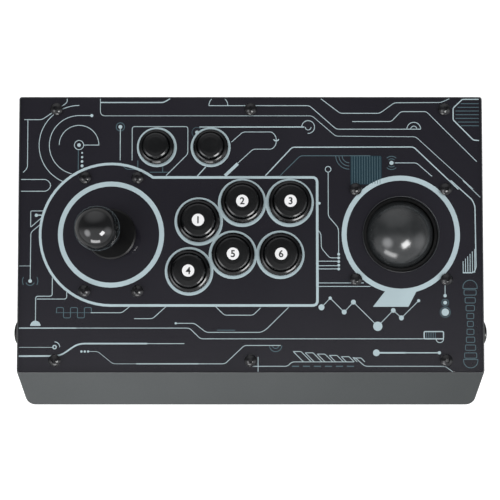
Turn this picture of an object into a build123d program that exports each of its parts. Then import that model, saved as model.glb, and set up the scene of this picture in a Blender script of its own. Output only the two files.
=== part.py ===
from build123d import *
from math import radians, sin, sqrt
import os

# Desktop arcade control box: a joystick, ten push buttons and a trackball under a clear acrylic
# sheet. Millimetres, +Z up, +Y away from the player. The origin is the centre of the box's
# footprint, on the surface that the rubber feet stand on.

# ---------------------------------------------------------------- driving dimensions
PANEL_W = 360.0  # acrylic sheet, left to right
PANEL_D = 214.0  # acrylic sheet, front to back
PANEL_TOP = 82.0  # height of the playing surface
ACRYLIC_T = 3.0
SHEET_T = 0.3  # printed artwork sheet
PLATE_T = 1.5  # steel control plate
BEVEL_RUN = 29.2  # sloped front facet: how far it runs forward
BEVEL_DROP = 25.0  # and how far it drops
WALL = 2.5
LIP = 0.8  # case standing proud of the acrylic at the sides and back
FOOT_H = 4.0
BOTTOM_T = 2.0

STICK_X = -108.0  # joystick axis
TRACKBALL_X = 116.5  # trackball axis
BALL_TOP_R = 16.0  # joystick ball
BALL_TOP_H = 42.0  # its centre above the playing surface
TRACKBALL_R = 28.575  # 2 1/4 inch ball
TRACKBALL_SINK = 16.0  # its centre below the playing surface

MAIN_BUTTONS = [(-40.2, 10.4), (-6.4, 25.0), (30.6, 25.0), (-47.6, -28.4), (-13.5, -15.5), (23.3, -15.5)]
SMALL_BUTTONS = [(-73.0, 68.0), (-31.0, 68.0)]
SIDE_BUTTON_Y = -77.0  # from the panel's centre
SIDE_BUTTON_Z = 62.0
PANEL_SCREWS = [(x, y) for x in (-151.0, 0.0, 151.0) for y in (-97.5, 97.5)]
STICK_SCREWS = (41.0, 88.0)  # hole spacing across and along
TRACKBALL_SCREWS = (70.0, 70.0)

PRESS = 3.0  # button travel
STICK_TILT = 9.0  # joystick tilt each way, in degrees

# ---------------------------------------------------------------- derived places
CASE_W = PANEL_W + 2 * LIP
CASE_D = PANEL_D + BEVEL_RUN + LIP
FRONT = -CASE_D / 2
BACK = CASE_D / 2
PANEL_Y = BACK - LIP - PANEL_D / 2  # panel's centre
CASE_TOP = PANEL_TOP - ACRYLIC_T - SHEET_T
PLATE_BOTTOM = CASE_TOP - PLATE_T
FLANGE_BOTTOM = PLATE_BOTTOM - 2.0
CASE_BOTTOM = FOOT_H
FLOOR = CASE_BOTTOM + BOTTOM_T  # upper face of the bottom plate
STICK = (STICK_X, PANEL_Y)
TRACKBALL = (TRACKBALL_X, PANEL_Y)

GAP = 0.05  # running clearance on a radius
FIT = 0.3  # clearance between parts that are dropped into each other
MAIN_HOLE_R = 15.0
SMALL_HOLE_R = 12.0
SCREW_R = 2.0  # M4
SCREW_HOLE_R = 2.2
SMALL_HOLE = 1.7  # clearance hole of the small M3 screws, on the radius
SMALL_PILOT = 1.2  # and the hole that they cut their thread in
CUT = 1.0  # how far a cutting shape reaches past the face it cuts


# ---------------------------------------------------------------- helpers
def cyl(radius, low, high, x=0.0, y=0.0):
    """Upright cylinder between two heights."""
    return Pos(x, y, (low + high) / 2) * Cylinder(radius, high - low)


def ring(outer, inner, low, high, x=0.0, y=0.0):
    """Upright tube between two heights."""
    return cyl(outer, low, high, x, y) - cyl(inner, low - 1, high + 1, x, y)


def block(x, y, z):
    """Box from three (low, high) pairs."""
    size = [b - a for a, b in (x, y, z)]
    middle = [(a + b) / 2 for a, b in (x, y, z)]
    return Pos(*middle) * Box(*size)


def rod(radius, start, end):
    """Cylinder between two points."""
    start, end = Vector(*start), Vector(*end)
    plane = Plane(origin=start, z_dir=end - start)
    return extrude(plane * Circle(radius), (end - start).length)


def rounded_slab(width, depth, low, high, radius, x=0.0, y=0.0):
    """Slab with rounded upright edges."""
    return Pos(x, y, low) * extrude(RectangleRounded(width, depth, radius), high - low)


def turned(points):
    """Solid of revolution about Z from (radius, height) points."""
    face = make_face(Polyline(*points, close=True))
    return revolve(Plane.XZ * face, axis=Axis.Z)


def group(pieces):
    """Several separate solids as one node."""
    return Compound(children=list(pieces))


def grid(spacing, centre):
    """The four corners of a rectangle of holes."""
    across, along = spacing
    cx, cy = centre
    return [(cx + i * across / 2, cy + j * along / 2) for i in (-1, 1) for j in (-1, 1)]


def on_panel(places):
    """Places given from the panel's centre, in the object's frame."""
    return [(x, y + PANEL_Y) for x, y in places]


def coil(radius, wire, low, high, turns):
    """Compression spring of round wire about Z."""
    rise = high - low - 2 * wire
    path = Pos(0, 0, low + wire) * Helix(rise / turns, rise, radius)
    start = Plane(origin=path @ 0, z_dir=path % 0)
    return sweep(start * Circle(wire), path=path, is_frenet=True)


def button_screw(length, head_r=4.75, head_h=2.5, shank_r=SCREW_R):
    """Button-head socket screw, its head's underside at Z 0."""
    crown_r = (head_r**2 + head_h**2) / (2 * head_h)
    head = cyl(head_r, 0, head_h) & (Pos(0, 0, head_h - crown_r) * Sphere(crown_r))
    socket = Pos(0, 0, head_h - 1.5) * extrude(RegularPolygon(1.75, 6), 2)
    return head - socket + cyl(shank_r, -length, 0)


def hex_nut(radius, height, bore):
    """Hexagon nut, standing down from Z 0."""
    return Pos(0, 0, -height) * extrude(RegularPolygon(radius, 6) - Circle(bore), height)


MAIN = on_panel(MAIN_BUTTONS)
SMALL = on_panel(SMALL_BUTTONS)
SCREWS = on_panel(PANEL_SCREWS)
STICK_HOLES = grid(STICK_SCREWS, STICK)
TRACKBALL_HOLES = grid(TRACKBALL_SCREWS, TRACKBALL)


# ---------------------------------------------------------------- case
CORNER_R = 6.0  # upright edges at the front
BACK_R = 2.0
FLANGE_W = 14.0  # ledge under the panel's rim
FLANGE_CORNER_R = 8.0
PLATE_INSET = 2.0  # control plate inside the acrylic's edge
BOSS_R = 5.0
BOSS_H = 12.0
INSERT_R = 3.2
INSERT_DEPTH = 9.0
INSERT_SUNK = 0.5
BOTTOM_BOSS_H = 14.0
BOTTOM_PILOT_R = 1.6
WEB_T = 3.0  # thickness of the web that ties a bottom boss to the wall
FOOT_R = 9.0
BOTTOM_SCREWS = [(x, y) for x in (-166.0, -58.0, 58.0, 166.0) for y in (FRONT + 10, BACK - 10)]
FEET = [(x, y) for x in (-148.0, 148.0) for y in (-92.0, 92.0)]
BOARD_Y = 72.0  # encoder board's centre
BOARD_W, BOARD_D, BOARD_T = 92.0, 68.0, 1.6
BOARD_Z = FLOOR + 8.0
STANDOFFS = (BOARD_W - 10, BOARD_D - 10)
SOCKET_H = 11.0
USB_Z = BOARD_Z + BOARD_T + SOCKET_H / 2
USB_CUTOUT = (15.0, 13.0)


def case_solid(inset):
    """The case's outer form, or its hollow when inset by the wall: a box with a sloped front."""
    outer = [
        (FRONT, CASE_BOTTOM),
        (FRONT, CASE_TOP - BEVEL_DROP),
        (FRONT + BEVEL_RUN, CASE_TOP),
        (BACK, CASE_TOP),
        (BACK, CASE_BOTTOM),
    ]
    profile = make_face(Polyline(*outer, close=True))
    plan = Rectangle(CASE_W - 2 * inset, CASE_D - 2 * inset)
    if inset:
        profile = offset(profile, -inset, kind=Kind.INTERSECTION)
    front = plan.vertices().sort_by(Axis.Y)[:2]
    plan = fillet(front, CORNER_R - inset)
    if BACK_R > inset:
        back = plan.vertices().sort_by(Axis.Y)[-2:]
        plan = fillet(back, BACK_R - inset)
    body = extrude(Plane.YZ * profile, CASE_W / 2 - inset, both=True)
    return body & extrude(plan, PANEL_TOP)


def case_shell():
    """Side, back and front walls, sloped facet, top flange and screw bosses, open underneath."""
    across, near, far = CASE_W / 2 - WALL, FRONT + WALL, BACK - WALL
    shell = case_solid(0) - case_solid(WALL)
    shell -= block((-across, across), (near, far), (0, CASE_BOTTOM + 2 * WALL))
    shell += rounded_slab(PANEL_W, PANEL_D, FLANGE_BOTTOM, CASE_TOP, 1, 0, PANEL_Y) & case_solid(0)
    opening = (PANEL_W - 2 * FLANGE_W, PANEL_D - 2 * FLANGE_W)
    shell -= rounded_slab(*opening, FLANGE_BOTTOM - WALL, PANEL_TOP, FLANGE_CORNER_R, 0, PANEL_Y)
    pocket = (PANEL_W - 2 * PLATE_INSET, PANEL_D - 2 * PLATE_INSET)
    shell -= rounded_slab(*pocket, PLATE_BOTTOM, PANEL_TOP, 3, 0, PANEL_Y)
    for x, y in SCREWS:
        shell += cyl(BOSS_R, PLATE_BOTTOM - BOSS_H, PLATE_BOTTOM, x, y)
        shell -= cyl(INSERT_R, PLATE_BOTTOM - BOSS_H - CUT, PLATE_BOTTOM + CUT, x, y)
    for x, y in BOTTOM_SCREWS:
        wall_y = FRONT + WALL / 2 if y < 0 else BACK - WALL / 2
        web = block((x - WEB_T / 2, x + WEB_T / 2), sorted((y, wall_y)), (FLOOR, FLOOR + BOTTOM_BOSS_H))
        shell += cyl(BOSS_R, FLOOR, FLOOR + BOTTOM_BOSS_H, x, y) + web
        shell -= cyl(BOTTOM_PILOT_R, FLOOR - CUT, FLOOR + BOTTOM_BOSS_H - 2, x, y)
    for side in (-1, 1):
        wall = (side * (CASE_W / 2 - 10), side * (CASE_W / 2 + 10))
        place = [(x, SIDE_BUTTON_Y + PANEL_Y, SIDE_BUTTON_Z) for x in wall]
        shell -= rod(SMALL_HOLE_R, *place)
    w, h = USB_CUTOUT
    shell -= block((-w / 2, w / 2), (BACK - 10, BACK + 10), (USB_Z - h / 2, USB_Z + h / 2))
    return shell


def threaded_inserts():
    """Brass inserts that the panel screws turn into."""
    low, high = PLATE_BOTTOM - INSERT_DEPTH, PLATE_BOTTOM - INSERT_SUNK
    return group(ring(INSERT_R, SCREW_R + GAP, low, high, x, y) for x, y in SCREWS)


def bottom_plate():
    """Steel plate that closes the case from below."""
    smaller = 2 * (WALL + FIT)
    plate = rounded_slab(CASE_W - smaller, CASE_D - smaller, CASE_BOTTOM, FLOOR, CORNER_R - WALL)
    for x, y in BOTTOM_SCREWS:
        plate -= cyl(SCREW_HOLE_R, 0, FLOOR + CUT, x, y)
    for x, y in grid(STANDOFFS, (0, BOARD_Y)):
        plate -= cyl(SMALL_HOLE, 0, FLOOR + CUT, x, y)
    return plate


def bottom_plate_screws():
    """Screws driven up through the bottom plate."""
    screw = button_screw(BOTTOM_T + 10, 3.6, 2.0, SCREW_R - 0.5)
    return group(Pos(x, y, CASE_BOTTOM) * Rot(180, 0, 0) * screw for x, y in BOTTOM_SCREWS)


def rubber_feet():
    """Four round rubber feet with a chamfered sole."""
    foot = chamfer(cyl(FOOT_R, 0, FOOT_H).edges().sort_by(Axis.Z)[0], 0.8)
    return group(Pos(x, y, 0) * foot for x, y in FEET)


# ---------------------------------------------------------------- top panel
STICK_HOLE_R = 13.5
TRACKBALL_HOLE_R = 29.3
COLLAR_R = 30.2
PANEL_CORNER_R = 2.0
MOUNT_T = 2.0  # the joystick's and the trackball's mounting plates
MOUNT_BOTTOM = PLATE_BOTTOM - MOUNT_T
NUT_H = 3.0
NUT_R = 4.0


def panel_layer(width, depth, low, high, corner, trackball_hole):
    """One flat layer of the panel, with every control's hole through it."""
    layer = rounded_slab(width, depth, low, high, corner, 0, PANEL_Y)
    holes = [(MAIN_HOLE_R, p) for p in MAIN] + [(SMALL_HOLE_R, p) for p in SMALL]
    holes += [(SCREW_HOLE_R, p) for p in SCREWS + STICK_HOLES + TRACKBALL_HOLES]
    holes += [(STICK_HOLE_R, STICK), (trackball_hole, TRACKBALL)]
    for radius, (x, y) in holes:
        layer -= cyl(radius, low - CUT, high + CUT, x, y)
    return layer


def acrylic_panel():
    """Clear acrylic sheet, its upper edges just broken."""
    low = PANEL_TOP - ACRYLIC_T
    panel = panel_layer(PANEL_W, PANEL_D, low, PANEL_TOP, PANEL_CORNER_R, TRACKBALL_HOLE_R)
    return chamfer(panel.faces().sort_by(Axis.Z)[-1].edges(), 0.3)


def artwork_sheet():
    """Printed sheet under the acrylic."""
    high = CASE_TOP + SHEET_T
    return panel_layer(PANEL_W, PANEL_D, CASE_TOP, high, PANEL_CORNER_R, TRACKBALL_HOLE_R)


def control_plate():
    """Steel plate that carries the joystick, the buttons and the trackball."""
    inset = 2 * (PLATE_INSET + FIT)
    size = (PANEL_W - inset, PANEL_D - inset)
    return panel_layer(*size, PLATE_BOTTOM, CASE_TOP, 2.5, COLLAR_R + FIT)


def panel_screws():
    """Six button-head screws that hold the panel down."""
    screw = button_screw(PANEL_TOP - PLATE_BOTTOM + INSERT_DEPTH - 2)
    return group(Pos(x, y, PANEL_TOP) * screw for x, y in SCREWS)


def control_mounting_screws():
    """Button-head screws that hold the joystick and the trackball."""
    screw = button_screw(PANEL_TOP - MOUNT_BOTTOM + NUT_H + 1)
    return group(Pos(x, y, PANEL_TOP) * screw for x, y in STICK_HOLES + TRACKBALL_HOLES)


def control_mounting_nuts():
    """Hexagon nuts under the two mounting plates."""
    nut = hex_nut(NUT_R, NUT_H, SCREW_R + GAP)
    return group(Pos(x, y, MOUNT_BOTTOM) * nut for x, y in STICK_HOLES + TRACKBALL_HOLES)


# ---------------------------------------------------------------- joystick
PIVOT_Z = PANEL_TOP - 24.0
HOUSING_HALF = 28.0
HOUSING_WALL = 3.0
GATE_Z = (17.0, 21.0)
SHAFT_R = 4.0
SHAFT_LOW = 16.0
SLEEVE_R = 6.2
THREAD_R = 3.0
THREAD_L = 10.0
GROOVE_DEPTH = 1.0
TRUNNION_R = 2.0
CROSS_PIN_R = 1.5
GIMBAL_OUTER, GIMBAL_INNER, GIMBAL_H = 12.5, 8.5, 6.0
BALL_FLAT = 14.0  # the ball's flat, below its centre
WASHER_Z = PANEL_TOP + 1.5  # middle of the dust washer
WASHER_R, WASHER_T = 19.5, 1.5
HUB_OUTER, HUB_INNER, HUB_T = 7.7, 6.5, 1.2
ACTUATOR_Z = (24.0, 34.0)
ACTUATOR_R = 8.0
CLIP_Z, CLIP_T = 22.4, 1.0
MID_FLOOR_Z = (46.0, 49.0)
MID_FLOOR_HOLE_R = 11.0
TRUNNION_AT = (14.5, 18.0)  # where the gimbal's bearing starts, and how far the trunnion reaches
SWITCH_SIZE = (20.0, 6.4, 10.0)  # microswitch body: length, thickness, height


def stick_at(shape):
    """Moves a piece made about the Z axis to the joystick."""
    return Pos(*STICK, 0) * shape


def joystick_mounting_plate():
    """Steel plate between the control plate and the joystick housing."""
    plate = rounded_slab(54, 100, MOUNT_BOTTOM, PLATE_BOTTOM, 4, *STICK)
    plate -= cyl(STICK_HOLE_R, 0, PANEL_TOP, *STICK)
    for x, y in STICK_HOLES:
        plate -= cyl(SCREW_HOLE_R, 0, PANEL_TOP, x, y)
    return plate


def joystick_housing():
    """Square moulded housing: trunnion bearings above, switch chamber below."""
    half, wall = HOUSING_HALF, HOUSING_WALL
    body = rounded_slab(2 * half, 2 * half, GATE_Z[1], MOUNT_BOTTOM, 3)
    inner = 2 * (half - wall)
    body -= rounded_slab(inner, inner, 0, MID_FLOOR_Z[0], 2)
    body -= rounded_slab(inner, inner, MID_FLOOR_Z[1], MOUNT_BOTTOM - wall, 2)
    body -= cyl(STICK_HOLE_R, MOUNT_BOTTOM - wall - CUT, PANEL_TOP)
    body -= cyl(MID_FLOOR_HOLE_R, MID_FLOOR_Z[0] - CUT, MID_FLOOR_Z[1] + CUT)
    near, far = TRUNNION_AT
    for side in (-1, 1):
        body += rod(2.5 * TRUNNION_R, (side * near, 0, PIVOT_Z), (side * (half - wall / 2), 0, PIVOT_Z))
        bore = (side * (near - CUT), 0, PIVOT_Z), (side * (far + 0.5), 0, PIVOT_Z)
        body -= rod(TRUNNION_R + GAP, *bore)
    return stick_at(body)


def gimbal_ring():
    """Ring that rocks front to back on two trunnions and carries the cross pin."""
    low, high = PIVOT_Z - GIMBAL_H / 2, PIVOT_Z + GIMBAL_H / 2
    body = cyl(GIMBAL_OUTER, low, high)
    for side in (-1, 1):
        body += rod(TRUNNION_R, (0, 0, PIVOT_Z), (side * TRUNNION_AT[1], 0, PIVOT_Z))
    body -= cyl(GIMBAL_INNER, low - CUT, high + CUT)
    reach = GIMBAL_OUTER + CUT
    body -= rod(CROSS_PIN_R + GAP, (0, -reach, PIVOT_Z), (0, reach, PIVOT_Z))
    return stick_at(body)


def cross_pin():
    """Steel pin through the shaft, which the stick rocks left and right on."""
    reach = GIMBAL_OUTER - 0.5
    return stick_at(rod(CROSS_PIN_R, (0, -reach, PIVOT_Z), (0, reach, PIVOT_Z)))


def stick_shaft():
    """Steel shaft with a threaded top for the ball and a groove for the clip."""
    shoulder = PANEL_TOP + BALL_TOP_H - BALL_FLAT
    body = cyl(SHAFT_R, SHAFT_LOW, shoulder) + cyl(THREAD_R, shoulder, shoulder + THREAD_L)
    body = chamfer(body.edges().sort_by(Axis.Z)[0], 0.8)
    reach = SHAFT_R + CUT
    body -= rod(CROSS_PIN_R, (0, -reach, PIVOT_Z), (0, reach, PIVOT_Z))
    body -= ring(reach, SHAFT_R - GROOVE_DEPTH, CLIP_Z, CLIP_Z + CLIP_T)
    return stick_at(body)


def retaining_clip():
    """Open spring clip in the shaft's groove, which holds the actuator up."""
    low, high = CLIP_Z, CLIP_Z + CLIP_T
    clip = ring(SHAFT_R + 2.5, SHAFT_R - GROOVE_DEPTH, low, high)
    clip -= block((0, SHAFT_R + 4), (-2.2, 2.2), (low - CUT, high + CUT))
    return stick_at(clip)


def actuator():
    """Plastic bush near the shaft's lower end that pushes the microswitches."""
    low, high = ACTUATOR_Z
    collar = high - 2.0
    bore = SHAFT_R + GAP
    return stick_at(ring(ACTUATOR_R, bore, low, collar) + ring(ACTUATOR_R + 1, bore, collar, high))


def return_spring():
    """Coil spring that brings the stick back to the middle."""
    return stick_at(coil(7.2, 0.6, ACTUATOR_Z[1] + GAP, MID_FLOOR_Z[1] - GAP, 5))


def shaft_cover():
    """Plastic sleeve over the shaft, from the housing up to the ball."""
    top = PANEL_TOP + BALL_TOP_H - BALL_FLAT
    sleeve = ring(SLEEVE_R, SHAFT_R + GAP, PIVOT_Z + 7, top)
    return stick_at(chamfer(sleeve.edges().sort_by(Axis.Z)[0], 0.4))


def ball_knob():
    """Ball knob with a flat and a threaded hole underneath."""
    centre = PANEL_TOP + BALL_TOP_H
    body = Pos(0, 0, centre) * Sphere(BALL_TOP_R)
    body -= cyl(BALL_TOP_R, centre - BALL_TOP_R - CUT, centre - BALL_FLAT)
    body -= cyl(THREAD_R + GAP, 0, centre - BALL_FLAT + THREAD_L + 0.5)
    return stick_at(body)


def washer_hub():
    """Small ring with a round edge that lets the dust washer stay flat as the shaft leans."""
    low, high = WASHER_Z - HUB_T / 2, WASHER_Z + HUB_T / 2
    body = (Pos(0, 0, WASHER_Z) * Sphere(HUB_OUTER)) & cyl(HUB_OUTER + CUT, low, high)
    return stick_at(body - cyl(HUB_INNER, low - CUT, high + CUT))


def dust_washer():
    """Shallow disc over the panel's hole, which slides with the shaft."""
    low, high = WASHER_Z - WASHER_T / 2, WASHER_Z + WASHER_T / 2
    inner = HUB_OUTER + 2 * GAP
    rim = (WASHER_R, low), (WASHER_R, low + 0.5), (WASHER_R - 1.2, high - 0.3)
    return stick_at(turned([(inner, low), *rim, (inner + 1.5, high), (inner, high)]))


def restrictor_gate():
    """Square gate under the housing that stops the shaft at its limits."""
    low, high = GATE_Z
    reach = SHAFT_R + (PIVOT_Z - low) * sin(radians(STICK_TILT)) + 0.35
    gate = rounded_slab(2 * HOUSING_HALF, 2 * HOUSING_HALF, low, high, 3)
    return stick_at(gate - rounded_slab(2 * reach, 2 * reach, low - CUT, high + CUT, 2.5))


def microswitch():
    """Microswitch lying on its side: its button at the origin faces -X, its terminals face +X."""
    length, thick, height = SWITCH_SIZE
    body = block((0.6, height + 0.6), (-length / 2, length / 2), (-thick / 2, thick / 2))
    for y in (-7.5, 7.5):
        body -= rod(1.2, (height - 1.5, y, -thick), (height - 1.5, y, thick))
    body += block((0, 0.8), (-1.4, 1.4), (-1.2, 1.2))
    return body


def joystick_microswitches():
    """Four microswitches round the actuator."""
    low, high = ACTUATOR_Z
    middle = (low + high) / 2 - 1.0
    reach = ACTUATOR_R + (PIVOT_Z - low) * sin(radians(STICK_TILT)) + 2 * GAP
    switch = Pos(reach, 0, middle) * microswitch()
    return group(stick_at(Rot(0, 0, turn) * switch) for turn in (0, 90, 180, 270))


# ---------------------------------------------------------------- push buttons
BUTTON_STACK = PANEL_TOP - PLATE_BOTTOM  # thickness that a panel button clamps
BEZEL_H = 3.2
BARREL_DEPTH = 20.0
BARREL_FLOOR_T = 2.0
CAP_DEPTH = 10.0
CAP_T = 3.0
STEM_R = 3.5
STEM_DEPTH = 22.0
NUT_DEPTH = 5.0
SWITCH_TOP = STEM_DEPTH + PRESS + 2 * GAP  # the switch's button, clear of the pressed stem


class ButtonSize:
    """The few sizes that differ between the buttons. The cap rises above the bezel's seat."""

    def __init__(self, bezel_r, hole_r, cap_r, cap_rise):
        self.bezel_r = bezel_r
        self.barrel_r = hole_r - FIT
        self.cap_r = cap_r
        self.cap_rise = cap_rise
        self.bore_r = cap_r + 0.25
        self.nut_r = hole_r + 1.0


MAIN_SIZE = ButtonSize(16.65, MAIN_HOLE_R, 12.9, 6.0)
SMALL_SIZE = ButtonSize(13.65, SMALL_HOLE_R, 10.0, 6.0)


def button_housing(size):
    """Bezel and barrel in one piece, with two arms that hold the microswitch. Z 0 is the panel."""
    r = size.bezel_r
    lip = size.bore_r + 0.9
    guide = STEM_R + 0.2
    rim = [(size.bore_r, BEZEL_H - 0.8), (lip, BEZEL_H), (r - 1.6, BEZEL_H - 0.4), (r - 0.4, 1.6), (r, 0.6)]
    wall = [(r, 0), (size.barrel_r, 0), (size.barrel_r, -BARREL_DEPTH), (guide, -BARREL_DEPTH)]
    floor = [(guide, BARREL_FLOOR_T - BARREL_DEPTH), (size.bore_r, BARREL_FLOOR_T - BARREL_DEPTH)]
    body = turned(rim + wall + floor)
    half = SWITCH_SIZE[0] / 2
    for side in (-1, 1):
        arm = sorted((side * (half + 0.1), side * (half + 1.4)))
        body += block(arm, (-3.0, 3.0), (-SWITCH_TOP - 9, 0.5 - BARREL_DEPTH))
    return body


def button_plunger(size):
    """Hollow cap with a soft dome and a stem that reaches the microswitch."""
    r = size.cap_r
    top = size.cap_rise
    outside = [(0, top), (r * 0.6, top - 0.12), (r - 1.5, top - 0.45), (r - 0.5, top - 0.95), (r, top - 1.9)]
    skirt = [(r, -CAP_DEPTH), (r - 1.8, -CAP_DEPTH), (r - 1.8, top - CAP_T), (STEM_R, top - CAP_T)]
    stem = [(STEM_R, -STEM_DEPTH), (0, -STEM_DEPTH)]
    return turned(outside + skirt + stem)


def button_nut(size, stack):
    """Round nut under the panel, with grip notches, on the barrel's thread."""
    nut = ring(size.nut_r, size.barrel_r + GAP, -stack - NUT_DEPTH, -stack)
    for turn in range(0, 360, 45):
        nut -= Rot(0, 0, turn) * cyl(1.2, -stack - NUT_DEPTH - CUT, CUT - stack, size.nut_r + 0.4, 0)
    return nut


def button_spring(size):
    """Light coil spring between the barrel's floor and the cap."""
    low, high = BARREL_FLOOR_T - BARREL_DEPTH, size.cap_rise - CAP_T
    return coil(STEM_R + 1.6, 0.35, low + GAP, high - GAP, 7)


def button_switch():
    """Microswitch under the barrel, its button facing up at the stem."""
    return Pos(0, 0, -SWITCH_TOP) * Rot(0, 90, 0) * Rot(90, 0, 0) * microswitch()


def panel_places(places):
    """Where panel buttons stand."""
    return [Pos(x, y, PANEL_TOP) for x, y in places]


def side_place(side):
    """Where a side button stands, its axis along X: side -1 is the left wall, 1 the right."""
    return Pos(side * CASE_W / 2, SIDE_BUTTON_Y + PANEL_Y, SIDE_BUTTON_Z) * Rot(0, side * 90, 0)


# each button's place and size
MAIN_SET = [(place, MAIN_SIZE) for place in panel_places(MAIN)]
SMALL_SET = [(place, SMALL_SIZE) for place in panel_places(SMALL)]
SIDE_SET = [(side_place(side), SMALL_SIZE) for side in (-1, 1)]


def main_button_housings():
    """The six 30 mm housings."""
    return group(place * button_housing(size) for place, size in MAIN_SET)


def small_button_housings():
    """The two small panel housings and the two side housings."""
    return group(place * button_housing(size) for place, size in SMALL_SET + SIDE_SET)


def button_nuts():
    """All ten retaining nuts."""
    nuts = [place * button_nut(size, BUTTON_STACK) for place, size in MAIN_SET + SMALL_SET]
    nuts += [place * button_nut(size, WALL) for place, size in SIDE_SET]
    return group(nuts)


def button_springs():
    """All ten button springs."""
    return group(place * button_spring(size) for place, size in MAIN_SET + SMALL_SET + SIDE_SET)


def button_microswitches():
    """All ten button microswitches."""
    return group(place * button_switch() for place, size in MAIN_SET + SMALL_SET + SIDE_SET)


# ---------------------------------------------------------------- trackball
BALL_Z = PANEL_TOP - TRACKBALL_SINK
BALL_GAP = 0.03  # between the ball and what it rolls on
ROLLER_R = 4.75
ROLLER_HALF = 11.0
AXLE_R = 2.5
BEARING_R = 5.0
NEAR_BEARING = (-16.5, -12.5)  # along the roller's axis, from the ball's centre
FAR_BEARING = (20.0, 24.0)
WHEEL_AT = (27.0, 28.4)
WHEEL_R = 9.0
WHEEL_SLOTS = 16
IDLER_R, IDLER_T, IDLER_PIN_R = 6.5, 5.0, 2.0
EAR_R, EAR_T = 4.5, 3.0
EAR_FAR = IDLER_T / 2 + 0.4 + EAR_T  # an ear's outer face, from the idler's middle
UNIT_HALF = 42.0
UNIT_WALL = 2.5
UNIT_BOTTOM = 28.0
UNIT_FLOOR = UNIT_BOTTOM + 2.5
UNIT_TOP = MOUNT_BOTTOM - 2.0
COLLAR_OPENING_R = 26.5
COLLAR_TOP = PANEL_TOP - 2.4
NOTCH = 29.5  # corner notches that clear the mounting nuts start here
UNIT_SCREWS = (74.0, 28.0)
UNIT_HEAD_R, UNIT_HEAD_H = 3.0, 1.6
UNIT_SCREW_L = 12.0
ROLLER_OFF = (TRACKBALL_R + ROLLER_R + BALL_GAP) / sqrt(2)
IDLER_OFF = (TRACKBALL_R + IDLER_R + BALL_GAP) / sqrt(2)
ROLLER_Z = BALL_Z - ROLLER_OFF
IDLER_Z = BALL_Z - IDLER_OFF


def ball_at(shape):
    """Moves a piece made about the Z axis to the trackball."""
    return Pos(*TRACKBALL, 0) * shape


def swapped(shape):
    """The same piece for the left roller: the front one mirrored across the diagonal."""
    return mirror(shape, about=Plane(origin=(0, 0, 0), z_dir=(1, -1, 0)))


def along(radius, span, z=ROLLER_Z):
    """Cylinder on the front roller's axis."""
    return rod(radius, (span[0], -ROLLER_OFF, z), (span[1], -ROLLER_OFF, z))


def corner_notches(low, high):
    """The four corners cut out of the housing for the mounting nuts."""
    far = UNIT_HALF + CUT
    return [
        block(sorted((i * NOTCH, i * far)), sorted((j * NOTCH, j * far)), (low, high))
        for i in (-1, 1)
        for j in (-1, 1)
    ]


def trackball_mounting_plate():
    """Steel plate between the control plate and the trackball unit."""
    plate = rounded_slab(92, 92, MOUNT_BOTTOM, PLATE_BOTTOM, 5, *TRACKBALL)
    plate -= cyl(COLLAR_R + FIT, 0, PANEL_TOP, *TRACKBALL)
    for x, y in TRACKBALL_HOLES:
        plate -= cyl(SCREW_HOLE_R, 0, PANEL_TOP, x, y)
    return plate


def trackball_collar():
    """Flange and collar that keep the ball in, the collar's lip just inside the panel's hole."""
    step = CASE_TOP - GAP
    body = rounded_slab(2 * UNIT_HALF, 2 * UNIT_HALF, UNIT_TOP, MOUNT_BOTTOM, 2)
    for notch in corner_notches(UNIT_TOP - CUT, MOUNT_BOTTOM + CUT):
        body -= notch
    body += cyl(COLLAR_R, MOUNT_BOTTOM, step) + cyl(TRACKBALL_HOLE_R - FIT, step, COLLAR_TOP)
    body = chamfer(body.edges().sort_by(Axis.Z)[-1], 0.5)
    body -= cyl(COLLAR_OPENING_R, 0, PANEL_TOP)
    body -= Pos(0, 0, BALL_Z) * Sphere(TRACKBALL_R + 0.5)
    for x, y in grid(UNIT_SCREWS, (0, 0)):
        body -= cyl(SMALL_HOLE, 0, PANEL_TOP, x, y)
        body -= cyl(UNIT_HEAD_R + 2 * GAP, MOUNT_BOTTOM - UNIT_HEAD_H - 2 * GAP, PANEL_TOP, x, y)
    return ball_at(body)


def trackball_housing():
    """Open-topped box with bearing posts for the rollers and ears for the idler."""
    half = UNIT_HALF
    inner = 2 * (half - UNIT_WALL)
    body = rounded_slab(2 * half, 2 * half, UNIT_BOTTOM, UNIT_TOP, 2)
    body -= rounded_slab(inner, inner, UNIT_FLOOR, UNIT_TOP + CUT, 1)
    for notch in corner_notches(MOUNT_BOTTOM - 3 * NUT_H, MOUNT_BOTTOM + CUT):
        body -= notch
    posts = [bearing_post(span) for span in (NEAR_BEARING, FAR_BEARING)]
    for post in posts:
        body += post + swapped(post)
    for x, y in grid(UNIT_SCREWS, (0, 0)):
        body += cyl(UNIT_HEAD_R + 0.4, UNIT_TOP - UNIT_SCREW_L - 2, UNIT_TOP, x, y)
        body -= cyl(SMALL_PILOT, UNIT_TOP - UNIT_SCREW_L, UNIT_TOP + CUT, x, y)
    for span in (NEAR_BEARING, FAR_BEARING):
        seat = along(BEARING_R, span)
        body -= seat
        body -= swapped(seat)
    for side in (-1, 1):
        body += idler_ear(side)
    return ball_at(body)


def bearing_post(span):
    """Post with a round head that holds one roller bearing."""
    r = BEARING_R + 1.8
    foot = block(span, (-ROLLER_OFF - r, r - ROLLER_OFF), (UNIT_FLOOR - CUT, ROLLER_Z))
    return foot + along(r, span)


def idler_point(distance):
    """A point on the idler's axis, at a distance from its middle."""
    step = distance / sqrt(2)
    off = IDLER_OFF / sqrt(2)
    return (off + step, off - step, IDLER_Z)


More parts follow.
